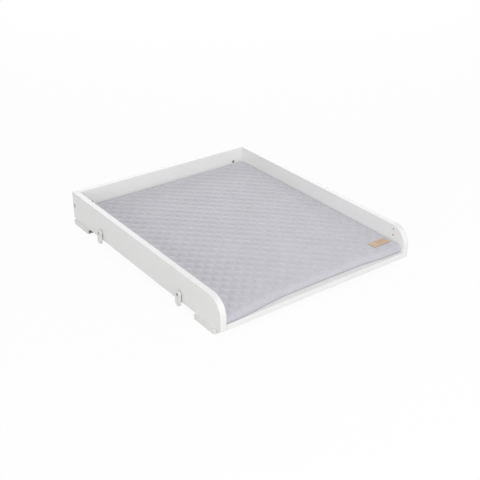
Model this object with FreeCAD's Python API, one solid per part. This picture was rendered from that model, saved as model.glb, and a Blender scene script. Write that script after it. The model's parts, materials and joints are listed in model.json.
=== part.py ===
import FreeCAD, Part
import os
from FreeCAD import Placement, Rotation, Vector

# Changing top: a white tray, open at the front, with a loose quilted pad. It is laid across a cot.
# Millimetres. X is the width, Y the depth with the open front at -Y, and Z is up.
# The origin is the middle of the footprint, on the surface that the rest blocks stand on.

# Tray boards
tray_width = 650.0
tray_depth = 785.0
wall_height = 88.0
wall_thickness = 18.0
base_thickness = 16.0
front_corner_radius = 50.0
edge_round = 1.2

# Rest blocks: hollow mouldings, closed at the outer end and open at the inner end
block_height = 14.5
block_length = 90.0
block_width = 44.0
block_front_inset = 20.0
block_back_inset = 10.0
block_overhang = 6.5
block_wall = 2.5
block_roof = 4.0
block_corner_radius = 4.0
block_edge_round = 0.8

# Screws that hold the rest blocks, two in each
block_screw_length = 16.0
block_screw_diameter = 4.0
block_screw_head_diameter = 7.5
block_screw_head_height = 2.4
block_screw_end_inset = 20.0
driver_hole_diameter = 9.0

# Swivel latches on the outer faces of the side panels
latch_width = 21.0
latch_thickness = 6.0
latch_stand_off = 3.0
latch_front_inset = 184.5
latch_back_inset = 175.5
latch_pivot_height = 22.0
latch_tip_clearance = 1.8
latch_edge_round = 1.2
latch_recess_diameter = 10.4
latch_recess_depth = 3.8
latch_screw_diameter = 5.0
latch_screw_depth = 13.0
latch_screw_head_diameter = 9.0
latch_screw_head_height = 2.2
spacer_diameter = 13.0

# Connector bolts and barrel nuts at the back corners
bolt_diameter = 6.0
bolt_head_diameter = 13.0
bolt_head_height = 2.5
bolt_head_recess = 4.0
bolt_socket_width = 4.0
bolt_socket_depth = 4.0
bolt_past_nut = 4.0
nut_diameter = 10.0
nut_length = 14.0
nut_setback = 37.0
driver_slot_width = 1.2
driver_slot_depth = 1.0
driver_cross_share = 0.6

# Dowels, and cam locks with their bolts
dowel_diameter = 8.0
dowel_length = 30.0
dowel_depth_in_wall = 10.0
dowel_chamfer = 1.0
corner_dowel_rise = 26.0
cam_diameter = 15.0
cam_height = 12.5
cam_setback = 34.0
cam_bolt_diameter = 5.0
cam_bolt_head_diameter = 7.0
cam_bolt_head_length = 3.0
cam_bolt_depth_in_wall = 11.0
joint_gap_to_block = 27.0
back_joint_spacing = 90.0

# Accessory holes near the front of the side panels
peg_hole_diameter = 6.0
peg_hole_depth = 9.0
peg_hole_spacing = 18.0
peg_hole_front_inset = 45.0
peg_hole_height = 65.0

# Pad: plan, crown and drawn-in sides; its front hem swings out near the corners
pad_side_clearance = 0.5
pad_back_gap = 4.0
pad_front_setback_left = 1.5
pad_front_setback_middle = 19.0
pad_front_setback_right = 9.5
pad_front_turn_left = (0.40, 0.85)
pad_front_turn_right = (0.52, 0.80)
pad_thickness = 28.0
pad_rim_height = 22.0
pad_side_draw = 1.5
pad_back_draw = 3.0
pad_rim_inset = 3.5
pad_front_rim_inset = 14.0
pad_hem_inset = 4.0
pad_belly_height = 9.0
pad_crown_power = 4

# Quilting: sewn channels that cross the pad on both diagonals
quilt_cells_across = 15
quilt_cells_along = 18
quilt_puff = 3.2
quilt_shoulder_share = 0.5
quilt_shoulder_rise = 0.8

# Layers of the pad
pad_bottom_cover_thickness = 1.0
pad_filling_thickness = 12.0
pad_filling_margin = 22.0

# Patch on the pad
tag_length = 62.0
tag_width = 27.0
tag_thickness = 1.5
tag_corner_radius = 3.0
tag_side_inset = 9.0
tag_front_inset = 42.0

# Clearances
fitting_clearance = 0.05
running_clearance = 0.1
hole_bottom_clearance = 1.0
soft_clearance = 0.3
overcut = 5.0
pick_margin = 1.0

# Places that several pieces share
half_width = tray_width / 2
half_depth = tray_depth / 2
inner_half_width = half_width - wall_thickness
back_inner_face = half_depth - wall_thickness
board_bottom = block_height
wall_top = board_bottom + wall_height
base_top = board_bottom + base_thickness
base_middle = board_bottom + base_thickness / 2
bolt_line = half_depth - wall_thickness / 2
bolt_height = board_bottom + wall_height / 2
latch_lines = {-1: latch_front_inset - half_depth, 1: half_depth - latch_back_inset}
latch_pivot_z = board_bottom + latch_pivot_height
latch_reach = latch_pivot_z - latch_tip_clearance
block_ends = {-1: block_front_inset - half_depth, 1: half_depth - block_back_inset}
side_joint_end = -block_ends[-1] - block_length - joint_gap_to_block
side_cam_lines = [-side_joint_end, 0.0, side_joint_end]
side_dowel_lines = [-side_joint_end / 2, side_joint_end / 2]
back_cam_lines = [-2 * back_joint_spacing, 2 * back_joint_spacing]
back_dowel_lines = [-back_joint_spacing, 0.0, back_joint_spacing]
SIDES = (("left", -1), ("right", 1))
ENDS = (("front", -1), ("back", 1))
X_AXIS = Vector(1, 0, 0)
Y_AXIS = Vector(0, 1, 0)
Z_AXIS = Vector(0, 0, 1)


# Shared forms

def slab(x_span, y_span, z_span):
    """Box between the two values of each span, given in either order."""
    low = Vector(min(x_span), min(y_span), min(z_span))
    high = Vector(max(x_span), max(y_span), max(z_span))
    size = high - low
    return Part.makeBox(size.x, size.y, size.z, low)


def rod(start, direction, diameter, length):
    return Part.makeCylinder(diameter / 2, length, start, direction)


def turned(start, direction, profile):
    """Solid of revolution: profile lists (distance along the axis, diameter) from end to end."""
    points = [Vector(0, 0, profile[0][0])]
    points += [Vector(diameter / 2, 0, along) for along, diameter in profile]
    points += [Vector(0, 0, profile[-1][0]), points[0]]
    solid = Part.Face(Part.makePolygon(points)).revolve(Vector(), Z_AXIS, 360)
    solid.Placement = Placement(start, Rotation(Z_AXIS, direction))
    return solid


def hole(start, direction, diameter, depth):
    """Cutter for a round hole that begins at a face; it starts a little outside that face."""
    return rod(start - direction * overcut, direction, diameter, depth + overcut)


def loose(diameter):
    """Diameter of the hole for a fitting of this diameter."""
    return diameter + 2 * fitting_clearance


def rounded(shape, radius, picked):
    """Round the straight and arc edges whose middle point is picked."""
    edges = [edge for edge in shape.Edges if picked(edge.CenterOfMass)]
    return shape.makeFillet(radius, edges)


# Boards

def wall_holes(sign):
    """Cutters for every hole in one side panel."""
    inward = Vector(-sign, 0, 0)
    outer = sign * half_width
    inner = sign * inner_half_width
    cutters = [
        hole(Vector(outer, bolt_line, bolt_height), inward, loose(bolt_head_diameter),
             bolt_head_recess + bolt_head_height),
        hole(Vector(outer, bolt_line, bolt_height), inward, loose(bolt_diameter), wall_thickness + overcut),
    ]
    dowel_hole = (loose(dowel_diameter), dowel_depth_in_wall + hole_bottom_clearance)
    for rise in (-corner_dowel_rise, corner_dowel_rise):
        cutters.append(hole(Vector(inner, bolt_line, bolt_height + rise), -inward, *dowel_hole))
    for y in side_dowel_lines:
        cutters.append(hole(Vector(inner, y, base_middle), -inward, *dowel_hole))
    for y in side_cam_lines:
        cutters.append(hole(Vector(inner, y, base_middle), -inward, loose(cam_bolt_diameter),
                            cam_bolt_depth_in_wall))
    for _, facing in ENDS:
        cutters.append(hole(Vector(outer, latch_lines[facing], latch_pivot_z), inward,
                            loose(latch_screw_diameter), latch_screw_depth + hole_bottom_clearance))
    for step in (-0.5, 0.5):
        height = board_bottom + peg_hole_height + step * peg_hole_spacing
        cutters.append(hole(Vector(inner, -half_depth + peg_hole_front_inset, height), -inward,
                            peg_hole_diameter, peg_hole_depth))
    return cutters


def side_panel(sign):
    outer = sign * half_width
    arc_start = Vector(outer, -half_depth, wall_top - front_corner_radius)
    arc_end = Vector(outer, -half_depth + front_corner_radius, wall_top)
    arc_centre = Vector(outer, arc_end.y, arc_start.z)
    arc_middle = arc_centre + Vector(0, -1, 1).normalize() * front_corner_radius
    front_foot = Vector(outer, -half_depth, board_bottom)
    back_foot = Vector(outer, half_depth, board_bottom)
    back_top = Vector(outer, half_depth, wall_top)
    outline = Part.Wire([
        Part.LineSegment(front_foot, arc_start).toShape(),
        Part.Arc(arc_start, arc_middle, arc_end).toShape(),
        Part.LineSegment(arc_end, back_top).toShape(),
        Part.LineSegment(back_top, back_foot).toShape(),
        Part.LineSegment(back_foot, front_foot).toShape(),
    ])
    panel = Part.Face(outline).extrude(Vector(-sign * wall_thickness, 0, 0))

    def on_a_face(point):
        off_face = abs(abs(point.x) - half_width + wall_thickness / 2)
        return off_face > wall_thickness / 2 - edge_round / 2 and point.z > board_bottom + edge_round

    panel = rounded(panel, edge_round, on_a_face)
    cutters = wall_holes(sign) + block_screw_holes(sign)
    return panel.cut(Part.makeCompound(cutters)).Solids[0]


def back_panel():
    panel = slab((-inner_half_width, inner_half_width), (back_inner_face, half_depth),
                 (board_bottom, wall_top))
    panel = rounded(panel, edge_round,
                    lambda point: abs(point.x) < pick_margin and point.z > wall_top - pick_margin)
    cutters = []
    for _, sign in SIDES:
        inward = Vector(-sign, 0, 0)
        end = sign * inner_half_width
        bolt_run = nut_setback + nut_diameter / 2 + bolt_past_nut + hole_bottom_clearance
        cutters.append(hole(Vector(end, bolt_line, bolt_height), inward, loose(bolt_diameter), bolt_run))
        cutters.append(hole(Vector(end + inward.x * nut_setback, back_inner_face, bolt_height), Y_AXIS,
                            loose(nut_diameter), nut_length))
        for rise in (-corner_dowel_rise, corner_dowel_rise):
            cutters.append(hole(Vector(end, bolt_line, bolt_height + rise), inward, loose(dowel_diameter),
                                dowel_length - dowel_depth_in_wall + hole_bottom_clearance))
    for x in back_dowel_lines:
        cutters.append(hole(Vector(x, back_inner_face, base_middle), Y_AXIS, loose(dowel_diameter),
                            dowel_depth_in_wall + hole_bottom_clearance))
    for x in back_cam_lines:
        cutters.append(hole(Vector(x, back_inner_face, base_middle), Y_AXIS, loose(cam_bolt_diameter),
                            cam_bolt_depth_in_wall))
    return panel.cut(Part.makeCompound(cutters)).Solids[0]


def base_joints(lines_of):
    """Place and direction into the board of each joint along the base panel's sides and back."""
    side_lines, back_lines = lines_of
    joints = []
    for _, sign in SIDES:
        for y in side_lines:
            joints.append((Vector(sign * inner_half_width, y, base_middle), Vector(-sign, 0, 0)))
    for x in back_lines:
        joints.append((Vector(x, back_inner_face, base_middle), Vector(0, -1, 0)))
    return joints


def base_panel():
    panel = slab((-inner_half_width, inner_half_width), (-half_depth, back_inner_face),
                 (board_bottom, base_top))
    panel = rounded(panel, edge_round,
                    lambda point: abs(point.x) < pick_margin and point.y < -half_depth + pick_margin)
    cutters = block_screw_holes(-1) + block_screw_holes(1)
    for place, inward in base_joints((side_dowel_lines, back_dowel_lines)):
        cutters.append(hole(place, inward, loose(dowel_diameter),
                            dowel_length - dowel_depth_in_wall + hole_bottom_clearance))
    for place, inward in base_joints((side_cam_lines, back_cam_lines)):
        cutters.append(hole(place, inward, loose(cam_bolt_head_diameter), cam_setback))
        under = place + inward * cam_setback
        under.z = board_bottom
        cutters.append(hole(under, Z_AXIS, loose(cam_diameter), cam_height))
    return panel.cut(Part.makeCompound(cutters)).Solids[0]


# Fittings inside the boards

def dowel(place, inward):
    wide = dowel_diameter
    narrow = wide - 2 * dowel_chamfer
    return turned(place - inward * dowel_depth_in_wall, inward, [
        (0, narrow), (dowel_chamfer, wide), (dowel_length - dowel_chamfer, wide), (dowel_length, narrow)])


def corner_dowels():
    places = [(sign, rise) for _, sign in SIDES for rise in (-corner_dowel_rise, corner_dowel_rise)]
    return [dowel(Vector(sign * inner_half_width, bolt_line, bolt_height + rise), Vector(-sign, 0, 0))
            for sign, rise in places]


def base_dowels():
    return [dowel(*joint) for joint in base_joints((side_dowel_lines, back_dowel_lines))]


def cam_bolt(place, inward):
    """Bolt that screws into a wall and ends in a round head inside its cam."""
    head_start = cam_bolt_depth_in_wall + cam_setback - cam_bolt_head_length
    return turned(place - inward * cam_bolt_depth_in_wall, inward, [
        (0, cam_bolt_diameter), (head_start, cam_bolt_diameter),
        (head_start, cam_bolt_head_diameter), (head_start + cam_bolt_head_length, cam_bolt_head_diameter)])


def cam_lock(place, inward):
    """Round cam in the base panel's underside, with a way in for the bolt's head and a driver cross."""
    centre = place + inward * cam_setback
    foot = Vector(centre.x, centre.y, board_bottom)
    cam = rod(foot, Z_AXIS, cam_diameter, cam_height)
    cam = cam.cut(hole(centre - inward * cam_diameter, inward, loose(cam_bolt_head_diameter),
                       cam_diameter + running_clearance))
    return cam.cut(driver_cross(foot, Z_AXIS, cam_diameter * driver_cross_share))


def driver_cross(start, direction, width):
    """Cutter for a cross recess, sunk from start along direction."""
    turn = Placement(start, Rotation(Z_AXIS, direction))
    bars = []
    for length, breadth in ((width, driver_slot_width), (driver_slot_width, width)):
        bar = Part.makeBox(length, breadth, driver_slot_depth + overcut,
                           Vector(-length / 2, -breadth / 2, -overcut))
        bar.Placement = turn
        bars.append(bar)
    return bars[0].fuse(bars[1])


def corner_bolt(sign):
    inward = Vector(-sign, 0, 0)
    start = Vector(sign * (half_width - bolt_head_recess), bolt_line, bolt_height)
    length = wall_thickness - bolt_head_recess + nut_setback + nut_diameter / 2 + bolt_past_nut
    bolt = turned(start, inward, [(0, bolt_head_diameter), (bolt_head_height, bolt_head_diameter),
                                  (bolt_head_height, bolt_diameter), (length, bolt_diameter)])
    corner = bolt_socket_width / 3 ** 0.5
    hexagon = [Vector(corner, 0, 0)]
    for step in range(1, 7):
        hexagon.append(Rotation(Z_AXIS, 60 * step).multVec(hexagon[0]))
    socket = Part.Face(Part.makePolygon(hexagon)).extrude(Z_AXIS * bolt_socket_depth)
    socket.Placement = Placement(start, Rotation(Z_AXIS, inward))
    return bolt.cut(socket)


def barrel_nut(sign):
    centre_x = sign * (inner_half_width - nut_setback)
    face = Vector(centre_x, back_inner_face, bolt_height)
    nut = rod(face, Y_AXIS, nut_diameter, nut_length)
    thread = rod(Vector(centre_x - nut_diameter, bolt_line, bolt_height), X_AXIS, loose(bolt_diameter),
                 2 * nut_diameter)
    slot = slab((centre_x - nut_diameter, centre_x + nut_diameter),
                (face.y - overcut, face.y + driver_slot_depth),
                (bolt_height - driver_slot_width / 2, bolt_height + driver_slot_width / 2))
    return nut.cut(thread).cut(slot)


# Rest blocks

def block_screw_places(sign):
    """Feet of the block screws on one side: one in the wall and one in the base panel for each block."""
    block_inner = half_width + block_overhang - block_width
    in_wall = half_width - wall_thickness / 2
    in_base = (inner_half_width + block_inner) / 2
    places = []
    for _, facing in ENDS:
        for x, along in ((in_wall, block_screw_end_inset), (in_base, block_length - block_screw_end_inset)):
            places.append(Vector(sign * x, block_ends[facing] - facing * along, board_bottom))
    return places


def block_screw_holes(sign):
    grip = block_screw_length - block_roof
    return [hole(place, Z_AXIS, loose(block_screw_diameter), grip + hole_bottom_clearance / 2)
            for place in block_screw_places(sign)]


def block_screws():
    screws = []
    for _, sign in SIDES:
        for place in block_screw_places(sign):
            seat = place - Z_AXIS * (block_roof + block_screw_head_height)
            neck = block_screw_head_height
            tip = neck + block_screw_length
            point = block_screw_diameter / 2
            screw = turned(seat, Z_AXIS, [(0, block_screw_head_diameter), (neck, block_screw_head_diameter),
                                          (neck, block_screw_diameter), (tip - point, block_screw_diameter),
                                          (tip, 0.0)])
            cross = driver_cross(seat, Z_AXIS, block_screw_head_diameter * driver_cross_share)
            screws.append(screw.cut(cross))
    return screws


def rest_block(sign, facing):
    outer_x = half_width + block_overhang
    inner_x = outer_x - block_width
    outer_y = block_ends[facing]
    inner_y = outer_y - facing * block_length
    block = slab((sign * inner_x, sign * outer_x), (inner_y, outer_y), (0, block_height))
    middle_z = block_height / 2

    def on_outer_corner(point):
        return abs(point.z - middle_z) < pick_margin and facing * (point.y - outer_y) > -pick_margin

    def on_top_or_foot(point):
        off_open_end = facing * (point.y - inner_y) > pick_margin
        return off_open_end and abs(point.z - middle_z) > middle_z - pick_margin

    block = rounded(block, block_corner_radius, on_outer_corner)
    block = rounded(block, block_edge_round, on_top_or_foot)
    rib_x = (half_width - wall_thickness / 2 + (inner_half_width + inner_x) / 2) / 2
    rib_half = block_wall / 2
    hollow_y = (inner_y - facing * overcut, outer_y - facing * block_wall)
    hollow_z = (block_wall, block_height - block_roof)
    for near, far in ((inner_x + block_wall, rib_x - rib_half), (rib_x + rib_half, outer_x - block_wall)):
        block = block.cut(slab((sign * near, sign * far), hollow_y, hollow_z))
    for place in block_screw_places(sign):
        if place.y * facing > 0:
            foot = Vector(place.x, place.y, 0)
            block = block.cut(hole(foot, Z_AXIS, driver_hole_diameter, block_wall + overcut / 2))
            block = block.cut(hole(foot, Z_AXIS, loose(block_screw_diameter), block_height + overcut))
    return block


# Swivel latches

def latch(sign, facing):
    """Plate with round ends that hangs from its screw and turns about it."""
    radius = latch_width / 2
    inner = sign * (half_width + latch_stand_off)
    pivot = Vector(inner, latch_lines[facing], latch_pivot_z)
    low = Vector(inner, pivot.y, pivot.z - latch_reach + radius)
    side = Y_AXIS * radius
    up = Z_AXIS * radius
    outline = Part.Wire([
        Part.Arc(pivot + side, pivot + up, pivot - side).toShape(),
        Part.LineSegment(pivot - side, low - side).toShape(),
        Part.Arc(low - side, low - up, low + side).toShape(),
        Part.LineSegment(low + side, pivot + side).toShape(),
    ])
    plate = Part.Face(outline).extrude(Vector(sign * latch_thickness, 0, 0))
    outer = inner + sign * latch_thickness
    plate = rounded(plate, latch_edge_round, lambda point: abs(point.x - outer) < latch_edge_round / 2)
    bore = rod(pivot - X_AXIS * latch_thickness, X_AXIS, loose(latch_screw_diameter), 3 * latch_thickness)
    recess = hole(Vector(outer, pivot.y, pivot.z), Vector(-sign, 0, 0),
                  latch_recess_diameter, latch_recess_depth)
    return plate.cut(bore).cut(recess)


def latch_screw(sign, facing):
    outward = Vector(sign, 0, 0)
    start = Vector(sign * (half_width - latch_screw_depth), latch_lines[facing], latch_pivot_z)
    neck = latch_screw_depth + latch_stand_off + latch_thickness - latch_recess_depth + running_clearance
    top = neck + latch_screw_head_height
    point = latch_screw_diameter / 2
    screw = turned(start, outward, [(0, 0.0), (point, latch_screw_diameter), (neck, latch_screw_diameter),
                                    (neck, latch_screw_head_diameter), (top, latch_screw_head_diameter)])
    cross_width = latch_screw_head_diameter * driver_cross_share
    return screw.cut(driver_cross(start + outward * top, -outward, cross_width))


def latch_spacer(sign, facing):
    start = Vector(sign * half_width, latch_lines[facing], latch_pivot_z)
    outward = Vector(sign, 0, 0)
    thickness = latch_stand_off - running_clearance
    washer = rod(start, outward, spacer_diameter, thickness)
    return washer.cut(hole(start, outward, loose(latch_screw_diameter), thickness + overcut))


# Pad

pad_bottom = base_top + soft_clearance
pad_half_width = inner_half_width - pad_side_clearance
pad_back = back_inner_face - pad_back_gap


def eased(value, start, end):
    """0 up to start, 1 from end on, and a smooth change between them."""
    share = min(1.0, max(0.0, (value - start) / (end - start)))
    return share * share * (3 - 2 * share)


def pad_hem_line(u):
    """Y of the front hem at share u of the width."""
    swing_left = (pad_front_setback_middle - pad_front_setback_left) * eased(-u, *pad_front_turn_left)
    swing_right = (pad_front_setback_middle - pad_front_setback_right) * eased(u, *pad_front_turn_right)
    return -half_depth + pad_front_setback_middle - swing_left - swing_right


def pad_point(u, v, height, inset, front_inset):
    """Point at shares u and v (-1 to 1) of the pad's plan, whose sides are drawn in between the corners."""
    half_span = pad_half_width - inset - pad_side_draw * (1 - v * v)
    front = pad_hem_line(u) + front_inset
    back = pad_back - inset - pad_back_draw * (1 - u * u)
    y = (front + back) / 2 + v * (back - front) / 2
    return Vector(u * half_span, y, pad_bottom + height)


def pad_crown(u, v):
    """Height of the sewn channels: low at the rim and high in the middle."""
    swell = (1 - abs(u) ** pad_crown_power) * (1 - abs(v) ** pad_crown_power)
    return pad_rim_height + (pad_thickness - quilt_puff - pad_rim_height) * swell


def quilt_point(i, j, puff=0.0):
    """Grid point on top of the pad: channels cross where i + j is even, cells lie where it is odd."""
    u = i / quilt_cells_across - 1
    v = j / quilt_cells_along - 1
    return pad_point(u, v, pad_crown(u, v) + puff, pad_rim_inset, pad_front_rim_inset)


def rim_shares():
    """Shares u and v of the grid points round the pad's edge, once round from the front left corner."""
    across = [i / quilt_cells_across - 1 for i in range(2 * quilt_cells_across)]
    along = [j / quilt_cells_along - 1 for j in range(2 * quilt_cells_along)]
    return ([(u, -1) for u in across] + [(1, v) for v in along]
            + [(-u, 1) for u in across] + [(-1, -v) for v in along])


def facet(points):
    return Part.Face(Part.makePolygon(points + points[:1]))


def on_quilt(i, j):
    return 0 <= i <= 2 * quilt_cells_across and 0 <= j <= 2 * quilt_cells_along


def quilt_cell(i, j):
    """Facets of one cell: from the channels up to a shoulder, and on to its top; half cells stay flat."""
    ring = [(i + 1, j), (i, j + 1), (i - 1, j), (i, j - 1)]
    whole = all(on_quilt(*corner) for corner in ring)
    top = quilt_point(i, j, quilt_puff if whole else 0.0)
    facets = []
    for first, second in zip(ring, ring[1:] + ring[:1]):
        if not (on_quilt(*first) and on_quilt(*second)):
            continue
        low = [quilt_point(*first), quilt_point(*second)]
        if whole:
            high = [quilt_point(i + (a - i) * quilt_shoulder_share, j + (b - j) * quilt_shoulder_share,
                                quilt_puff * quilt_shoulder_rise) for a, b in (first, second)]
            facets += [facet([low[0], low[1], high[1]]), facet([low[0], high[1], high[0]])]
            low = high
        facets.append(facet([low[0], low[1], top]))
    return facets


def quilt_facets():
    facets = []
    for i in range(2 * quilt_cells_across + 1):
        for j in range(2 * quilt_cells_along + 1):
            if (i + j) % 2:
                facets += quilt_cell(i, j)
    return facets


def pad_rings():
    """Outlines of the pad's side from the hem up: drawn under, out at the belly, in again at the rim."""
    shoulder = (pad_belly_height + pad_rim_height) / 2
    levels = [(pad_bottom_cover_thickness, pad_hem_inset, pad_hem_inset),
              (pad_belly_height, 0.0, 0.0),
              (shoulder + pad_belly_height / 4, pad_rim_inset / 4, pad_front_rim_inset / 4),
              (pad_rim_height, pad_rim_inset, pad_front_rim_inset)]
    return [[pad_point(u, v, *level) for u, v in rim_shares()] for level in levels]


def pad_body():
    """Closed form of the whole pad above its bottom cover."""
    facets = quilt_facets()
    rings = pad_rings()
    for low, high in zip(rings, rings[1:]):
        for k in range(len(low)):
            facets.append(facet([low[k - 1], low[k], high[k]]))
            facets.append(facet([low[k - 1], high[k], high[k - 1]]))
    facets.append(facet(rings[0]))
    shell = Part.Shell(facets)
    shell.sewShape()
    return Part.Solid(shell)


def tag_outline(clearance, height):
    """Patch with round corners, grown by a clearance and standing on the pad's surface."""
    right = pad_half_width - pad_side_draw - tag_side_inset + clearance
    left = right - tag_length - 2 * clearance
    front = -half_depth + tag_front_inset - clearance
    back = front + tag_width + 2 * clearance
    share = ((left + right) / 2 / pad_half_width, (front + back) / 2 / half_depth)
    seat = pad_bottom + pad_crown(*share)
    patch = slab((left, right), (front, back), (seat, seat + height))
    middle = seat + height / 2
    return rounded(patch, tag_corner_radius, lambda point: abs(point.z - middle) < tag_thickness / 4)


def filling_block(clearance):
    """Foam sheet inside the pad, grown by a clearance on its sides and top."""
    margin = pad_filling_margin - clearance
    front_margin = margin + pad_front_setback_middle - pad_front_setback_left
    low = pad_point(-1, -1, pad_bottom_cover_thickness, margin, front_margin)
    high = pad_point(1, 1, pad_bottom_cover_thickness + pad_filling_thickness + clearance,
                     margin, margin + pad_back_draw)
    return slab((low.x, high.x), (low.y, high.y), (low.z, high.z))


def pad_top_cover():
    pocket = filling_block(fitting_clearance)
    pocket = pocket.fuse(pocket.translated(Vector(0, 0, -pad_filling_thickness)))
    return pad_body().cut(pocket).cut(tag_outline(fitting_clearance, pad_thickness)).Solids[0]


def pad_bottom_cover():
    ring = pad_rings()[0]
    return facet(ring).extrude(Vector(0, 0, -pad_bottom_cover_thickness))


# All pieces by name

pieces = {
    "base_panel": base_panel(),
    "back_panel": back_panel(),
    "corner_dowels": Part.makeCompound(corner_dowels()),
    "base_dowels": Part.makeCompound(base_dowels()),
    "cam_bolts": Part.makeCompound(
        [cam_bolt(*joint) for joint in base_joints((side_cam_lines, back_cam_lines))]),
    "cam_locks": Part.makeCompound(
        [cam_lock(*joint) for joint in base_joints((side_cam_lines, back_cam_lines))]),
    "block_screws": Part.makeCompound(block_screws()),
    "pad_top_cover": pad_top_cover(),
    "pad_filling": filling_block(0.0),
    "pad_bottom_cover": pad_bottom_cover(),
    "pad_tag": tag_outline(0.0, tag_thickness),
}
for side, side_sign in SIDES:
    pieces[f"{side}_side_panel"] = side_panel(side_sign)
    pieces[f"corner_bolt_{side}"] = corner_bolt(side_sign)
    pieces[f"barrel_nut_{side}"] = barrel_nut(side_sign)
    for end, end_sign in ENDS:
        pieces[f"rest_block_{end}_{side}"] = rest_block(side_sign, end_sign)
        pieces[f"latch_{end}_{side}"] = latch(side_sign, end_sign)
        pieces[f"latch_screw_{end}_{side}"] = latch_screw(side_sign, end_sign)
        pieces[f"latch_spacer_{end}_{side}"] = latch_spacer(side_sign, end_sign)

os.makedirs("parts", exist_ok=True)
for name, shape in pieces.items():
    shape.exportStep(f"parts/{name}.step")
    box = shape.BoundBox
    print(f"{name:24s} solids {len(shape.Solids)} valid {shape.isValid()}"
          f" volume {shape.Volume / 1000:9.2f} cm3  z {box.ZMin:.2f} to {box.ZMax:.2f}")
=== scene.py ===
import json
import math

import bpy
import numpy as np
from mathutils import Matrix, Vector, noise


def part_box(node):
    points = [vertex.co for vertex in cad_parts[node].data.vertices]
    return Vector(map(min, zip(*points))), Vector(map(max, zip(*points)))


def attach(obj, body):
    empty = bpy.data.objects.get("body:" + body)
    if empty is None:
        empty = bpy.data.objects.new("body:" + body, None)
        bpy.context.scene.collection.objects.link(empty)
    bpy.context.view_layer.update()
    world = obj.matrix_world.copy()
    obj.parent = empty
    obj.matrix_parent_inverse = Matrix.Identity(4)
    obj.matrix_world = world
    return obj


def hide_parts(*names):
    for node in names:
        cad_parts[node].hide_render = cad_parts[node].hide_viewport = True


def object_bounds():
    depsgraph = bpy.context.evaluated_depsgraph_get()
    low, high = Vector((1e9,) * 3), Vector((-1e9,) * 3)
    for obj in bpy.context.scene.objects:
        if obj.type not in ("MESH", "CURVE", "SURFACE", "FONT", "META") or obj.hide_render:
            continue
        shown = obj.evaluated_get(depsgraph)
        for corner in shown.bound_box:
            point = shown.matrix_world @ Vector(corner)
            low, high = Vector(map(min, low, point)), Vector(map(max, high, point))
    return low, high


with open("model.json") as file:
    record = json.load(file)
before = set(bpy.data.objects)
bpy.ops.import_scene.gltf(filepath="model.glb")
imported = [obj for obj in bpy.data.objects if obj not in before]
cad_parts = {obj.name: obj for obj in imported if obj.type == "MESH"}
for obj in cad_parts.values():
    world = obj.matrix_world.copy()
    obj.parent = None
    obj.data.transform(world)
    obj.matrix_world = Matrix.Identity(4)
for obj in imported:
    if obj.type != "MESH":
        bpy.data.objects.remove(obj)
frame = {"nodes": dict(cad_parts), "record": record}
cad_low, cad_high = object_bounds()

scene = bpy.context.scene
scene.view_settings.view_transform = "Standard"
MM = 0.001
TINY = 1e-9
UP = np.array([0.0, 0.0, 1.0])
WHITE = (1, 1, 1, 1)

# Camera, at the photograph's viewing angle
CAMERA_AZIMUTH = -36.39
CAMERA_ELEVATION = 28.2
CAMERA_DISTANCE = 2.476
CAMERA_TARGET = (-0.0484, -0.0965, 0.0585)
CAMERA_LENS = 65.325
SENSOR_WIDTH = 36.0

# Light: soft lamps low round the object, each in its direction from the origin, and a pale floor
WORLD_LEVEL = 0.585
LAMPS = {
    "front": dict(direction=(-0.10, -0.87, 0.48), distance=2.9, size=(2.4, 1.8), power=32.0),
    "left": dict(direction=(-0.88, -0.38, 0.27), distance=7.0, size=(5.0, 2.4), power=98.0),
    "back": dict(direction=(0.55, 0.78, 0.33), distance=4.0, size=(3.0, 1.6), power=40.0),
}
FLOOR_SIZE = 40.0
FLOOR_DROP = 0.3 * MM
FLOOR_GLOW = 0.94
FLOOR_COLOUR = (0.9, 0.9, 0.9, 1)
FLOOR_BOUNCE = (0.66, 0.66, 0.66, 1)

# Colours: the darker and the lighter tone of each surface
BOARD_TONES = ((0.842, 0.842, 0.835), (0.872, 0.873, 0.868))
PLASTIC_TONES = ((0.80, 0.80, 0.79), (0.84, 0.84, 0.832))
ZINC_TONES = ((0.34, 0.345, 0.36), (0.48, 0.485, 0.495))
BEECH_TONES = ((0.50, 0.34, 0.20), (0.66, 0.48, 0.31))
FABRIC_TONES = ((0.53, 0.524, 0.568), (0.625, 0.619, 0.665))
# The piping's tones are darker than the cover's: painted shade for the shadow line under the hem
PIPING_SHADE_TONES = ((0.39, 0.385, 0.415), (0.49, 0.485, 0.515))
THREAD_TONES = ((0.53, 0.525, 0.56), (0.64, 0.635, 0.67))
LEATHER_TONES = ((0.56, 0.405, 0.28), (0.72, 0.55, 0.405))
# Painted shade: the dark colour given to the patch's cut edges
LEATHER_EDGE_SHADE = (0.16, 0.09, 0.05, 1)
TAG_THREAD_TONES = ((0.66, 0.52, 0.38), (0.80, 0.66, 0.50))
TONE_PLACES = (0.3, 0.7)

# Sockets of a colour mix node, whose names repeat
MIX_FACTOR = 0
MIX_FIRST = 6
MIX_SECOND = 7
MIX_RESULT = 2

# Pad outline, as in the CAD model
PAD_SIDE_DRAW = 1.5 * MM
PAD_BACK_DRAW = 3 * MM
PAD_RIM_HEIGHT = 22 * MM
PAD_RIM_INSET = 3.5 * MM
PAD_FRONT_RIM_INSET = 15 * MM
PAD_HEM_INSET = 4 * MM
PAD_FRONT_HEM_INSET = 5 * MM
PAD_BELLY_HEIGHT = 8 * MM
PAD_CROWN_POWER = 4
PAD_RIGHT_SHARE = 0.3
FRONT_SETBACK_LEFT = 1.5 * MM
FRONT_SETBACK_MIDDLE = 19 * MM
FRONT_SETBACK_RIGHT = 9.5 * MM
FRONT_TURN_LEFT = 0.30
FRONT_TURN_LEFT_SPAN = 0.65
FRONT_TURN_RIGHT = 0.46
FRONT_TURN_RIGHT_SPAN = 0.40

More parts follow.
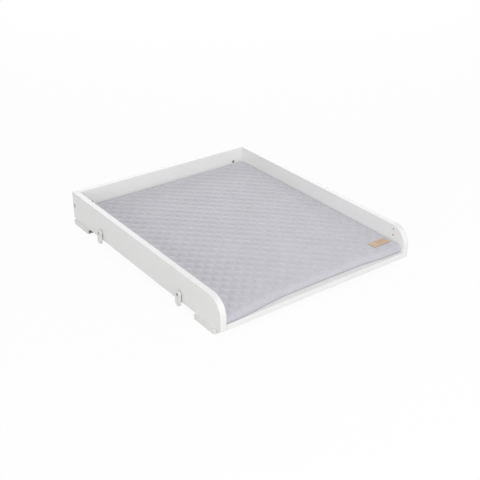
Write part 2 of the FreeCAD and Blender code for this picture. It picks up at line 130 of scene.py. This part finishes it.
# Quilting: square diamonds between sewn channels, carried on over the front roll
CELLS_ACROSS = 15
CELLS_ALONG = 18
STEPS_PER_CELL = 12
PUFF = 3.2 * MM
START_PUFF = 1.6 * MM
PUFF_SPREAD = 0.16
PUFF_SPREAD_PITCH = 70 * MM
WAVE_HEIGHT = 1.4 * MM
WAVE_PITCH = 170 * MM
CHANNEL_CREASE = 0.3
ROLL_STEPS = 7
ROLL_FADE = 0.35
ROLL_END_SHARE = 0.03
RIM_FADE_STEPS = 5
UNDER_STEPS = 3
UNDER_INSETS = (14 * MM, 45 * MM, 120 * MM)

# Cloth
CLOTH_FRAMES = 20
CLOTH_PRESSURE = 4.0
CLOTH_SPARE = -0.029
MOVE_CAP = 4 * MM

# Weave of the cover and of the piping's cloth
FABRIC_PITCH = 1.1 * MM
FABRIC_RELIEF = 0.2 * MM
FABRIC_SHEEN = 0.7
PIPING_PITCH = 0.8 * MM
PIPING_RELIEF = 0.1 * MM
PIPING_SHEEN = 0.2

# Piping in the seam at the hem
PIPING_RADIUS = 2.0 * MM
PIPING_HEIGHT = 2.3 * MM
PIPING_INSET = 3.0 * MM
PIPING_SIDES = 8

# Thread: each stitch is a slim capsule between two points of a seam, sunk at its ends.
# Its rings are given by their share of its length and of its width.
STITCH_SIDES = 4
STITCH_RADIUS = 0.32 * MM
STITCH_RISE = 0.25 * MM
STITCH_SINK = 0.35 * MM
STITCH_GAP = 0.1
STITCH_RINGS = ((0.0, 0.45), (0.25, 1.0), (0.75, 1.0), (1.0, 0.45))

# Patch
TAG_STEPS_ACROSS = 44
TAG_STEPS_ALONG = 20
TAG_CORNER = 3 * MM
TAG_EDGE = 0.5 * MM
TAG_CROWN = 0.7 * MM
TAG_SEAM_INSET = 2.4 * MM
TAG_SEAM_WIDTH = 0.9 * MM
TAG_SEAM_DEPTH = 0.35 * MM
TAG_STITCH_PITCH = 3.1 * MM
TAG_BED_GAP = 0.2 * MM
TAG_BED_EASE = 11 * MM


# Materials

class Finish:
    """A procedural material: constants go on the shader's own sockets, detail comes from its nodes."""

    def __init__(self, name, **constants):
        self.material = bpy.data.materials.new(name)
        self.material.use_nodes = True
        self.tree = self.material.node_tree
        self.shader = self.tree.nodes["Principled BSDF"]
        for socket, value in constants.items():
            self.shader.inputs[socket.replace("_", " ")].default_value = value
        self.place = self.node("ShaderNodeTexCoord").outputs["Object"]

    def node(self, kind, settings=None, **inputs):
        made = self.tree.nodes.new(kind)
        for name, value in (settings or {}).items():
            setattr(made, name, value)
        for name, value in inputs.items():
            self.feed(made.inputs[name.replace("_", " ")], value)
        return made

    def feed(self, socket, value):
        if isinstance(value, bpy.types.NodeSocket):
            self.tree.links.new(value, socket)
        else:
            socket.default_value = value

    def stretched(self, scale):
        """Object coordinates, in metres, times a scale for each axis."""
        return self.node("ShaderNodeMapping", Vector=self.place, Scale=scale).outputs["Vector"]

    def noise(self, scale, detail=3.0, roughness=0.5, vector=None):
        made = self.node("ShaderNodeTexNoise", Vector=vector or self.place, Scale=scale, Detail=detail,
                         Roughness=roughness)
        return made.outputs["Fac"]

    def math(self, operation, first, second=0.0):
        made = self.node("ShaderNodeMath", {"operation": operation})
        self.feed(made.inputs[0], first)
        self.feed(made.inputs[1], second)
        return made.outputs[0]

    def weighted(self, *parts):
        """Sum of values, each times its weight."""
        total = None
        for value, weight in parts:
            share = self.math("MULTIPLY", value, weight)
            total = share if total is None else self.math("ADD", total, share)
        return total

    def between(self, value, low, high):
        """A value, held to 0 to 1, stretched to run from low to high."""
        return self.node("ShaderNodeMapRange", Value=value, To_Min=low, To_Max=high).outputs["Result"]

    def tint(self, value, tones):
        """Colour that goes from the dark tone to the light one over the values where noise mostly lies."""
        made = self.node("ShaderNodeValToRGB", Fac=value)
        for stop, place, tone in zip(made.color_ramp.elements, TONE_PLACES, tones):
            stop.position = place
            stop.color = (*tone, 1)
        return made.outputs["Color"]

    def colour(self, value):
        self.feed(self.shader.inputs["Base Color"], value)

    def rough(self, value):
        self.feed(self.shader.inputs["Roughness"], value)

    def bump(self, height, distance, strength):
        made = self.node("ShaderNodeBump", Height=height, Distance=distance, Strength=strength)
        self.feed(self.shader.inputs["Normal"], made.outputs["Normal"])


def white_board():
    """Satin lacquer on board: faint clouds in the white, and the fine dimples of a sprayed coat."""
    finish = Finish("white_board", IOR=1.48, Coat_Weight=0.12, Coat_Roughness=0.18)
    finish.colour(finish.tint(finish.noise(scale=9.0, detail=4.0), BOARD_TONES))
    finish.rough(finish.between(finish.noise(scale=60.0), low=0.33, high=0.46))
    finish.bump(finish.noise(scale=420.0, detail=2.0), distance=0.04 * MM, strength=0.5)
    return finish.material


def white_plastic():
    """Moulded plastic: a slightly warmer white with an eroded grain."""
    finish = Finish("white_plastic", IOR=1.49)
    finish.colour(finish.tint(finish.noise(scale=30.0), PLASTIC_TONES))
    finish.rough(finish.between(finish.noise(scale=90.0, detail=2.0), low=0.36, high=0.5))
    finish.bump(finish.noise(scale=1400.0, roughness=0.6), distance=0.03 * MM, strength=0.6)
    return finish.material


def zinc_steel():
    """Bright zinc plating: a fine grain and a patchy blue-grey sheen."""
    finish = Finish("zinc_steel", Metallic=1.0)
    finish.colour(finish.tint(finish.noise(scale=240.0, detail=4.0), ZINC_TONES))
    finish.rough(finish.between(finish.noise(scale=700.0), low=0.22, high=0.42))
    finish.bump(finish.noise(scale=2600.0, detail=2.0), distance=0.02 * MM, strength=0.6)
    return finish.material


def beech():
    """Pale turned wood with fine flecks along the grain."""
    finish = Finish("beech", Roughness=0.6)
    grain = finish.noise(scale=30.0, detail=5.0, vector=finish.stretched((4.0, 60.0, 60.0)))
    finish.colour(finish.tint(grain, BEECH_TONES))
    finish.bump(grain, distance=0.1 * MM, strength=0.4)
    return finish.material


def woven(name, tones, pitch, relief, sheen):
    """Plain-woven cloth: the over-and-under of its yarns, with slubs and a soft bloom."""
    finish = Finish(name, Roughness=0.86, Sheen_Weight=sheen, Sheen_Roughness=0.45, Specular_IOR_Level=0.22)
    split = finish.node("ShaderNodeSeparateXYZ", Vector=finish.place)
    turn = 2 * math.pi / pitch
    across = finish.math("SINE", finish.math("MULTIPLY", split.outputs["X"], turn))
    run = finish.math("ADD", split.outputs["Y"], split.outputs["Z"])
    along = finish.math("SINE", finish.math("MULTIPLY", run, turn))
    yarns = finish.between(finish.math("MULTIPLY", across, along), low=0.25, high=0.75)
    slubs = finish.noise(scale=900.0, roughness=0.65)
    clouds = finish.noise(scale=14.0)
    finish.colour(finish.tint(finish.weighted((slubs, 0.45), (clouds, 0.35), (yarns, 0.2)), tones))
    finish.bump(finish.weighted((yarns, 0.7), (slubs, 0.3)), distance=relief, strength=0.8)
    return finish.material


def leather(low, high):
    """Tan leather: pebbled grain, pores and an uneven dye, with painted shade on its cut edges, darker
    below high.
    """
    finish = Finish("tag_leather", Specular_IOR_Level=0.35)
    pebbles = finish.node("ShaderNodeTexVoronoi", {"feature": "DISTANCE_TO_EDGE"}, Vector=finish.place,
                          Scale=900.0).outputs["Distance"]
    tan = finish.tint(finish.noise(scale=120.0, detail=4.0, roughness=0.6), LEATHER_TONES)
    height = finish.node("ShaderNodeSeparateXYZ", Vector=finish.place).outputs["Z"]
    # Painted shade: below high the patch's sides are mixed towards a dark colour
    edge = finish.node("ShaderNodeMapRange", Value=height, From_Min=low, From_Max=high)
    shaded_edge = finish.node("ShaderNodeMix", {"data_type": "RGBA"})
    finish.feed(shaded_edge.inputs[MIX_FACTOR], edge.outputs["Result"])
    finish.feed(shaded_edge.inputs[MIX_FIRST], LEATHER_EDGE_SHADE)
    finish.feed(shaded_edge.inputs[MIX_SECOND], tan)
    finish.colour(shaded_edge.outputs[MIX_RESULT])
    finish.rough(finish.between(finish.noise(scale=260.0), low=0.45, high=0.65))
    pores = finish.noise(scale=1600.0)
    finish.bump(finish.weighted((pebbles, 0.7), (pores, 0.4)), distance=0.2 * MM, strength=0.7)
    return finish.material


def thread(name, tones):
    """Twisted sewing thread: fine streaks for its plies."""
    finish = Finish(name, Roughness=0.6, Sheen_Weight=0.2)
    plies = finish.noise(scale=60.0, detail=2.0, vector=finish.stretched((40.0, 40.0, 12.0)))
    finish.colour(finish.tint(plies, tones))
    finish.bump(plies, distance=0.08 * MM, strength=0.5)
    return finish.material


# Stage

def make_object(name, points, faces):
    mesh = bpy.data.meshes.new(name)
    mesh.from_pydata(points, [], faces)
    made = bpy.data.objects.new(name, mesh)
    scene.collection.objects.link(made)
    return made


def seen_white(tree, lit, white):
    """Shader that is white where it is seen, mirrored or looked through, and lit elsewhere."""
    path = tree.nodes.new("ShaderNodeLightPath")
    seen = path.outputs["Is Camera Ray"]
    for name in ("Is Glossy Ray", "Is Transmission Ray"):
        both = tree.nodes.new("ShaderNodeMath")
        both.operation = "MAXIMUM"
        tree.links.new(seen, both.inputs[0])
        tree.links.new(path.outputs[name], both.inputs[1])
        seen = both.outputs[0]
    mix = tree.nodes.new("ShaderNodeMixShader")
    tree.links.new(seen, mix.inputs["Fac"])
    tree.links.new(lit, mix.inputs[1])
    tree.links.new(white, mix.inputs[2])
    return mix.outputs["Shader"]


def make_world():
    world = bpy.data.worlds.new("studio")
    world.use_nodes = True
    tree = world.node_tree
    tree.nodes.clear()
    lit = tree.nodes.new("ShaderNodeBackground")
    lit.inputs["Strength"].default_value = WORLD_LEVEL
    white = tree.nodes.new("ShaderNodeBackground")
    for background in (lit, white):
        background.inputs["Color"].default_value = WHITE
    shown = seen_white(tree, lit.outputs["Background"], white.outputs["Background"])
    output = tree.nodes.new("ShaderNodeOutputWorld")
    tree.links.new(shown, output.inputs["Surface"])
    scene.world = world


def make_floor():
    """A pale floor that keeps part of the object's shadow, and throws back less light than it shows."""
    half = FLOOR_SIZE / 2
    level = cad_low.z - FLOOR_DROP
    corners = [(-half, -half, level), (half, -half, level), (half, half, level), (-half, half, level)]
    floor = make_object("floor", corners, [(0, 1, 2, 3)])
    material = bpy.data.materials.new("floor")
    material.use_nodes = True
    tree = material.node_tree
    tree.nodes.clear()
    lit = tree.nodes.new("ShaderNodeBsdfDiffuse")
    lit.inputs["Color"].default_value = FLOOR_COLOUR
    bounce = tree.nodes.new("ShaderNodeBsdfDiffuse")
    bounce.inputs["Color"].default_value = FLOOR_BOUNCE
    glow = tree.nodes.new("ShaderNodeEmission")
    glow.inputs["Strength"].default_value = 1.0
    pale = tree.nodes.new("ShaderNodeMixShader")
    pale.inputs["Fac"].default_value = FLOOR_GLOW
    tree.links.new(lit.outputs["BSDF"], pale.inputs[1])
    tree.links.new(glow.outputs["Emission"], pale.inputs[2])
    shown = seen_white(tree, bounce.outputs["BSDF"], pale.outputs["Shader"])
    output = tree.nodes.new("ShaderNodeOutputMaterial")
    tree.links.new(shown, output.inputs["Surface"])
    floor.data.materials.append(material)


def make_lamp(name, direction, distance, size, power):
    away = Vector(direction).normalized()
    lamp = bpy.data.lights.new(name, "AREA")
    lamp.shape = "RECTANGLE"
    lamp.size, lamp.size_y = size
    lamp.energy = power
    holder = bpy.data.objects.new(name, lamp)
    holder.location = away * distance
    holder.rotation_euler = (-away).to_track_quat("-Z", "Y").to_euler()
    scene.collection.objects.link(holder)


def make_camera():
    azimuth = math.radians(CAMERA_AZIMUTH)
    elevation = math.radians(CAMERA_ELEVATION)
    level = math.cos(elevation)
    back = Vector((math.sin(azimuth) * level, -math.cos(azimuth) * level, math.sin(elevation)))
    lens = bpy.data.cameras.new("camera")
    lens.lens = CAMERA_LENS
    lens.sensor_width = SENSOR_WIDTH
    camera = bpy.data.objects.new("camera", lens)
    camera.location = Vector(CAMERA_TARGET) + back * CAMERA_DISTANCE
    camera.rotation_euler = (-back).to_track_quat("-Z", "Y").to_euler()
    scene.collection.objects.link(camera)
    scene.camera = camera


# Pad

def smooth_step(value):
    value = np.clip(value, 0, 1)
    return value * value * (3 - 2 * value)


def noise_field(x, y, pitch):
    """Smooth noise, about -1 to 1, at places in plan."""
    values = [noise.noise((a / pitch, b / pitch, 0)) for a, b in zip(np.ravel(x), np.ravel(y))]
    return np.reshape(values, np.shape(x))


def front_setback(u):
    """How far the hem lies behind the floor board's front edge, at shares u from -1 to 1."""
    left = smooth_step((-u - FRONT_TURN_LEFT) / FRONT_TURN_LEFT_SPAN)
    right = smooth_step((u - FRONT_TURN_RIGHT) / FRONT_TURN_RIGHT_SPAN)
    return (FRONT_SETBACK_MIDDLE - (FRONT_SETBACK_MIDDLE - FRONT_SETBACK_LEFT) * left
            - (FRONT_SETBACK_MIDDLE - FRONT_SETBACK_RIGHT) * right)


def side_levels():
    """Angle, height, inset and front inset of each ring from under the rim round the roll to the hem."""
    levels = []
    for step in range(1, ROLL_STEPS + 1):
        angle = math.pi / 2 * step / ROLL_STEPS
        height = PAD_BELLY_HEIGHT + (PAD_RIM_HEIGHT - PAD_BELLY_HEIGHT) * math.cos(angle)
        share = 1 - math.sin(angle)
        levels.append((angle, height, PAD_RIM_INSET * share, PAD_FRONT_RIM_INSET * share))
    for step in range(1, UNDER_STEPS + 1):
        angle = math.pi / 2 * step / UNDER_STEPS
        share = 1 - math.cos(angle)
        height = PAD_BELLY_HEIGHT * (1 - math.sin(angle))
        levels.append((angle, height, PAD_HEM_INSET * share, PAD_FRONT_HEM_INSET * share))
    return levels


def diamond(i, j):
    """How far grid places lie into their diamond: 0 on a sewn channel, 1 in the middle."""
    rising = np.sin(np.pi * ((i + j) % STEPS_PER_CELL) / STEPS_PER_CELL)
    falling = np.sin(np.pi * ((i - j) % STEPS_PER_CELL) / STEPS_PER_CELL)
    return rising * falling


def final_points(piece, count):
    """The first points of a piece with its modifiers, which are those of its own mesh."""
    mesh = piece.evaluated_get(bpy.context.evaluated_depsgraph_get()).data
    flat = np.empty(len(mesh.vertices) * 3)
    mesh.vertices.foreach_get("co", flat)
    return flat.reshape(-1, 3)[:count]


class PadShape:
    """Plan and heights of the pad, from the CAD solids that it replaces."""

    def __init__(self):
        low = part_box("pad_bottom_cover")[0]
        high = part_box("pad_top_cover")[1]
        self.bottom = low.z
        self.top = high.z
        self.half_width = high.x
        self.back = high.y
        self.board_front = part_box("base_panel")[0].y

    def plan(self, u, v, inset, front_inset):
        """Place at shares u and v; on the right the pad fills the tray up to the wall."""
        side = np.where(u > 0, PAD_RIGHT_SHARE, 1.0)
        half_span = self.half_width - side * (inset + PAD_SIDE_DRAW * (1 - v * v))
        front = self.board_front + front_setback(u) + front_inset
        back = self.back - inset - PAD_BACK_DRAW * (1 - u * u)
        return u * half_span, (front + back) / 2 + v * (back - front) / 2

    def channel_height(self, u, v):
        """Height of the sewn channels, with the slow waves of a pad that lies loose."""
        swell = (1 - np.abs(u) ** PAD_CROWN_POWER) * (1 - np.abs(v) ** PAD_CROWN_POWER)
        middle = self.top - self.bottom - PUFF
        x, y = self.plan(u, v, 0, 0)
        waves = WAVE_HEIGHT * (0.5 + 0.5 * noise_field(x, y, WAVE_PITCH))
        return self.bottom + PAD_RIM_HEIGHT + (middle - PAD_RIM_HEIGHT + waves) * swell


class PadMesh:
    """The whole pad as one closed mesh: quilted top and front roll, plain sides and underside."""

    def __init__(self, shape):
        self.shape = shape
        self.columns = CELLS_ACROSS * STEPS_PER_CELL
        self.rows = CELLS_ALONG * STEPS_PER_CELL
        self.puff = START_PUFF
        self.points = np.empty((0, 3))
        self.held = np.empty(0, bool)
        self.faces = []
        self.seams = []
        self.make_top()
        self.make_sides()
        self.make_underside()
        self.object = make_object("pad_cover", self.points.tolist(), self.faces)

    def add_points(self, points, held):
        """Adds points, and gives their numbers."""
        first = len(self.points)
        self.points = np.concatenate([self.points, points])
        self.held = np.concatenate([self.held, held])
        return range(first, len(self.points))

    def add_cell(self, corners, i, j):
        """One grid cell, split where a channel crosses it."""
        a, b, c, d = corners
        if (i - j) % STEPS_PER_CELL == 0:
            self.faces += [(a, b, c), (a, c, d)]
            self.seams.append((a, c))
        elif (i + j + 1) % STEPS_PER_CELL == 0:
            self.faces += [(a, b, d), (b, c, d)]
            self.seams.append((b, d))
        else:
            self.faces.append((a, b, c, d))

    def make_top(self):
        i, j = np.meshgrid(np.arange(self.columns + 1), np.arange(self.rows + 1), indexing="ij")
        u = 2 * i / self.columns - 1
        v = 2 * j / self.rows - 1
        x, y = self.shape.plan(u, v, PAD_RIM_INSET, PAD_FRONT_RIM_INSET)
        from_edge = np.minimum(np.minimum(i, self.columns - i), self.rows - j)
        dome = diamond(i, j) * smooth_step(from_edge / RIM_FADE_STEPS)
        self.channels = self.shape.channel_height(u, v).reshape(-1)
        z = self.channels + self.puff * dome.reshape(-1)
        points = np.stack([x.reshape(-1), y.reshape(-1), z], axis=-1)
        self.add_points(points, dome.reshape(-1) < TINY)
        width = self.rows + 1
        for column in range(self.columns):
            for row in range(self.rows):
                a = column * width + row
                b = a + width
                self.add_cell((a, b, b + 1, a + 1), column, row)

    def rim_places(self):
        """Grid places round the edge, once round from the front left corner, seen from above."""
        columns, rows = self.columns, self.rows
        return ([(i, 0) for i in range(columns)] + [(columns, j) for j in range(rows)]
                + [(i, rows) for i in range(columns, 0, -1)] + [(0, j) for j in range(rows, 0, -1)])

    def make_sides(self):
        """Rings from the rim round the roll to the hem; the diamonds go on over the front one."""
        places = self.rim_places()
        i = np.array([place[0] for place in places])
        j = np.array([place[1] for place in places])
        self.rim_u = 2 * i / self.columns - 1
        self.rim_v = 2 * j / self.rows - 1
        upper = [column * (self.rows + 1) + row for column, row in places]
        ends = smooth_step((1 - np.abs(self.rim_u)) / ROLL_END_SHARE) * (j == 0)
        for ring, (angle, height, inset, front_inset) in enumerate(side_levels(), start=1):
            x, y = self.shape.plan(self.rim_u, self.rim_v, inset, front_inset)
            rolled = ring <= ROLL_STEPS
            dome = diamond(i, -ring) * ends * (1 - ROLL_FADE * ring / ROLL_STEPS) * rolled
            z = self.shape.bottom + height + self.puff * dome * math.cos(angle)
            y = y - self.puff * dome * math.sin(angle)
            free = (dome > TINY) & (ring < ROLL_STEPS)
            lower = self.add_points(np.stack([x, y, z], axis=-1), ~free)
            for k in range(len(places)):
                corners = (lower[k - 1], lower[k], upper[k], upper[k - 1])
                if rolled and 0 < k <= self.columns:
                    self.add_cell(corners, k - 1, -ring)
                else:
                    self.faces.append(corners)
            upper = lower
        self.hem = upper

    def make_underside(self):
        """Rings with half as many points each time, and one face in the middle."""
        upper, u, v = self.hem, self.rim_u, self.rim_v
        for inset in UNDER_INSETS:
            u, v = u[::2], v[::2]
            x, y = self.shape.plan(u, v, inset, inset)
            ring = np.stack([x, y, np.full_like(x, self.shape.bottom)], axis=-1)
            inner = self.add_points(ring, np.ones(len(ring), bool))
            for k in range(len(inner)):
                after = (k + 1) % len(inner)
                self.faces.append((upper[2 * k], inner[k], inner[after], upper[2 * k + 1]))
                self.faces.append((upper[2 * k + 1], inner[after], upper[2 * after]))
            upper = inner
        self.faces.append(tuple(reversed(upper)))

    def inflate(self):
        """Blows the diamonds up between their channels with a cloth simulation, and keeps the result."""
        group = self.object.vertex_groups.new(name="sewn")
        group.add(np.flatnonzero(self.held).tolist(), 1.0, "REPLACE")
        cloth = self.object.modifiers.new("cloth", "CLOTH")
        settings = cloth.settings
        settings.vertex_group_mass = group.name
        settings.use_pressure = True
        settings.uniform_pressure_force = CLOTH_PRESSURE
        settings.shrink_min = CLOTH_SPARE
        settings.effector_weights.gravity = 0.0
        cloth.collision_settings.use_collision = False
        cloth.point_cache.frame_start = 1
        cloth.point_cache.frame_end = CLOTH_FRAMES
        for step in range(1, CLOTH_FRAMES + 1):
            scene.frame_set(step)
        move = final_points(self.object, len(self.points)) - self.points
        self.object.modifiers.remove(cloth)
        self.object.vertex_groups.remove(group)
        scene.frame_set(1)
        reach = np.linalg.norm(move, axis=1, keepdims=True)
        self.points += move * np.minimum(1, MOVE_CAP / np.maximum(reach, TINY))

    def settle(self, tag_low, tag_high):
        """Varies the puffs a little, beds the patch in, keeps off the walls and creases the channels."""
        top = self.points[:len(self.channels)]
        rise = top[:, 2] - self.channels
        top[:, 2] += rise * PUFF_SPREAD * noise_field(top[:, 0], top[:, 1], PUFF_SPREAD_PITCH)
        aside = [np.maximum(np.maximum(tag_low[axis] - top[:, axis], top[:, axis] - tag_high[axis]), 0)
                 for axis in (0, 1)]
        near = 1 - smooth_step(np.hypot(*aside) / TAG_BED_EASE)
        top[:, 2] += near * (tag_low.z - TAG_BED_GAP - top[:, 2])
        self.points[:, 0] = np.clip(self.points[:, 0], -self.shape.half_width, self.shape.half_width)
        self.points[:, 1] = np.minimum(self.points[:, 1], self.shape.back)
        mesh = self.object.data
        mesh.vertices.foreach_set("co", self.points.reshape(-1))
        seams = {tuple(sorted(seam)) for seam in self.seams}
        creases = mesh.attributes.new("crease_edge", "FLOAT", "EDGE")
        creases.data.foreach_set("value", [CHANNEL_CREASE * (tuple(sorted(edge.vertices)) in seams)
                                           for edge in mesh.edges])
        mesh.update()


def make_piping(pad):
    """A covered cord all round the pad, in the seam between its top and its underside."""
    x, y = pad.shape.plan(pad.rim_u, pad.rim_v, PIPING_INSET, PIPING_INSET)
    reach = pad.shape.half_width - PIPING_RADIUS
    x = np.clip(x, -reach, reach)
    path = np.stack([x, y, np.full_like(x, pad.shape.bottom + PIPING_HEIGHT)], axis=-1)
    run = np.roll(path, -1, axis=0) - np.roll(path, 1, axis=0)
    run /= np.linalg.norm(run, axis=1, keepdims=True)
    side = np.cross(run, UP)
    angles = 2 * np.pi * np.arange(PIPING_SIDES) / PIPING_SIDES
    outward = np.cos(angles)[:, None] * side[:, None] + np.sin(angles)[:, None] * UP
    points = path[:, None] + PIPING_RADIUS * outward
    faces = []
    for k in range(len(path)):
        here = k * PIPING_SIDES
        there = (k + 1) % len(path) * PIPING_SIDES
        for corner in range(PIPING_SIDES):
            after = (corner + 1) % PIPING_SIDES
            faces.append((here + corner, here + after, there + after, there + corner))
    return make_object("pad_piping_painted_shade", points.reshape(-1, 3).tolist(), faces)


# Stitches and patch

def make_stitches(name, starts, ends):
    """One slim capsule from each start to its end, bowed up from the cloth."""
    run = ends - starts
    length = np.linalg.norm(run, axis=1, keepdims=True)
    run = run / length
    side = np.cross(run, UP)
    side /= np.linalg.norm(side, axis=1, keepdims=True)
    over = np.cross(side, run)
    rings = []
    for share, width in STITCH_RINGS:
        bow = 1 - (2 * share - 1) ** 2
        along = STITCH_GAP + (1 - 2 * STITCH_GAP) * share
        middle = starts + run * length * along + over * (STITCH_RISE * bow - STITCH_SINK * (1 - bow))
        for corner in range(STITCH_SIDES):
            angle = 2 * math.pi * corner / STITCH_SIDES
            rings.append(middle + STITCH_RADIUS * width * (math.cos(angle) * side + math.sin(angle) * over))
    points = np.stack(rings, axis=1)
    each = points.shape[1]
    faces = []
    for first in range(0, len(starts) * each, each):
        for ring in range(len(STITCH_RINGS) - 1):
            here = first + ring * STITCH_SIDES
            there = here + STITCH_SIDES
            for corner in range(STITCH_SIDES):
                after = (corner + 1) % STITCH_SIDES
                faces.append((here + corner, there + corner, there + after, here + after))
        faces.append(tuple(range(first, first + STITCH_SIDES)))
        faces.append(tuple(range(first + each - 1, first + each - 1 - STITCH_SIDES, -1)))
    return make_object(name, points.reshape(-1, 3).tolist(), faces)


def rounded(x, y, half):
    """Places in a rectangle moved so that its corners are round."""
    a = np.clip((np.abs(x) - half.x + TAG_CORNER) / TAG_CORNER, 0, 1)
    b = np.clip((np.abs(y) - half.y + TAG_CORNER) / TAG_CORNER, 0, 1)
    x = x - np.sign(x) * TAG_CORNER * a * (1 - np.sqrt(1 - b * b / 2))
    y = y - np.sign(y) * TAG_CORNER * b * (1 - np.sqrt(1 - a * a / 2))
    return x, y


def make_tag(low, high):
    """A bare leather patch: rounded corners and edges, a sunk seam and a soft crown."""
    middle = (low + high) / 2
    half = (high - low) / 2
    across, along = TAG_STEPS_ACROSS, TAG_STEPS_ALONG
    u, v = np.meshgrid(np.linspace(-1, 1, across + 1), np.linspace(-1, 1, along + 1), indexing="ij")
    x, y = rounded(u * half.x, v * half.y, half)
    inset = np.minimum(half.x - np.abs(u * half.x), half.y - np.abs(v * half.y))
    edge = np.sqrt(np.clip(1 - np.clip(1 - inset / TAG_EDGE, 0, 1) ** 2, 0, 1))
    seam = np.exp(-((inset - TAG_SEAM_INSET) / TAG_SEAM_WIDTH) ** 2)
    crown = smooth_step((inset - TAG_SEAM_INSET) / (half.y - TAG_SEAM_INSET))
    top = high.z - TAG_EDGE * (1 - edge) - TAG_SEAM_DEPTH * seam + TAG_CROWN * crown
    points = np.concatenate([np.stack([middle.x + x, middle.y + y, z], axis=-1).reshape(-1, 3)
                             for z in (top, np.full_like(top, low.z))])
    count = u.size
    width = along + 1
    faces = []
    for i in range(across):
        for j in range(along):
            cell = (i * width + j, (i + 1) * width + j, (i + 1) * width + j + 1, i * width + j + 1)
            faces.append(cell)
            faces.append(tuple(count + corner for corner in reversed(cell)))
    rim = ([i * width for i in range(across)] + [across * width + j for j in range(along)]
           + [i * width + along for i in range(across, 0, -1)] + list(range(along, 0, -1)))
    for k in range(len(rim)):
        faces.append((rim[k - 1], count + rim[k - 1], count + rim[k], rim[k]))
    return make_object("tag_patch", points.tolist(), faces)


def tag_seam(low, high):
    """Starts and ends of the stitches in the patch's seam."""
    middle = (low + high) / 2
    half = (high - low) / 2 - Vector((TAG_SEAM_INSET, TAG_SEAM_INSET, 0))
    z = high.z - TAG_SEAM_DEPTH
    corners = [(-half.x, -half.y), (half.x, -half.y), (half.x, half.y), (-half.x, half.y)]
    starts, ends = [], []
    for k, (x, y) in enumerate(corners):
        before = np.array(corners[k - 1])
        run = np.array((x, y)) - before
        count = round(np.linalg.norm(run) / TAG_STITCH_PITCH)
        for step in range(count):
            for places, share in ((starts, step / count), (ends, (step + 1) / count)):
                places.append((*(before + run * share + np.array(middle[:2])), z))
    return np.array(starts), np.array(ends)


def pad_seams(pad, tag_low, tag_high):
    """Starts and ends of the stitches in the pad's channels, without those under the patch."""
    sewn = final_points(pad.object, len(pad.points))
    seams = np.array(pad.seams)
    starts, ends = sewn[seams[:, 0]], sewn[seams[:, 1]]
    middle = (starts + ends) / 2
    under_tag = ((middle[:, 0] > tag_low.x) & (middle[:, 0] < tag_high.x)
                 & (middle[:, 1] > tag_low.y) & (middle[:, 1] < tag_high.y))
    return starts[~under_tag], ends[~under_tag]


def subdivide(piece):
    subdivision = piece.modifiers.new("subdivision", "SUBSURF")
    subdivision.levels = subdivision.render_levels = 1
    subdivision.use_limit_surface = False


def finish_piece(piece, body, material):
    """Smooth shading, material, body and slot of a new piece."""
    piece.data.materials.append(material)
    piece.data.polygons.foreach_set("use_smooth", [True] * len(piece.data.polygons))
    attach(piece, body)


# Build

make_world()
make_floor()
for lamp_name, lamp_values in LAMPS.items():
    make_lamp(lamp_name, **lamp_values)
make_camera()

tag_low, tag_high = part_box("pad_tag")
fabric = woven("quilted_fabric", FABRIC_TONES, FABRIC_PITCH, FABRIC_RELIEF, FABRIC_SHEEN)
finishes = {
    "white_board": white_board(),
    "white_plastic": white_plastic(),
    "zinc_steel": zinc_steel(),
    "beech": beech(),
    "quilted_fabric": fabric,
    "filling": fabric,
    "tag_leather": leather(tag_high.z - TAG_EDGE - TAG_SEAM_DEPTH, tag_high.z - TAG_EDGE),
}
for part in frame["record"]["subparts"]:
    materials = frame["nodes"][part["node"]].data.materials
    materials.clear()
    materials.append(finishes[part["material_slot"]])

pad = PadMesh(PadShape())
pad.inflate()
pad.settle(tag_low, tag_high)
subdivide(pad.object)
finish_piece(pad.object, "pad", fabric)
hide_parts("pad_top_cover", "pad_filling", "pad_bottom_cover")

stitches = make_stitches("pad_stitching", *pad_seams(pad, tag_low, tag_high))
finish_piece(stitches, "pad", thread("pad_thread", THREAD_TONES))

piping = make_piping(pad)
# The piping is a real cord, and its darker cloth is painted shade for the shadow line under the hem
piping_shade_cloth = woven("pad_piping_painted_shade", PIPING_SHADE_TONES, PIPING_PITCH, PIPING_RELIEF, PIPING_SHEEN)
finish_piece(piping, "pad", piping_shade_cloth)

tag = make_tag(tag_low, tag_high)
subdivide(tag)
finish_piece(tag, "pad", finishes["tag_leather"])
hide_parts("pad_tag")
tag_stitches = make_stitches("tag_stitching", *tag_seam(tag_low, tag_high))
finish_piece(tag_stitches, "pad", thread("tag_thread", TAG_THREAD_TONES))
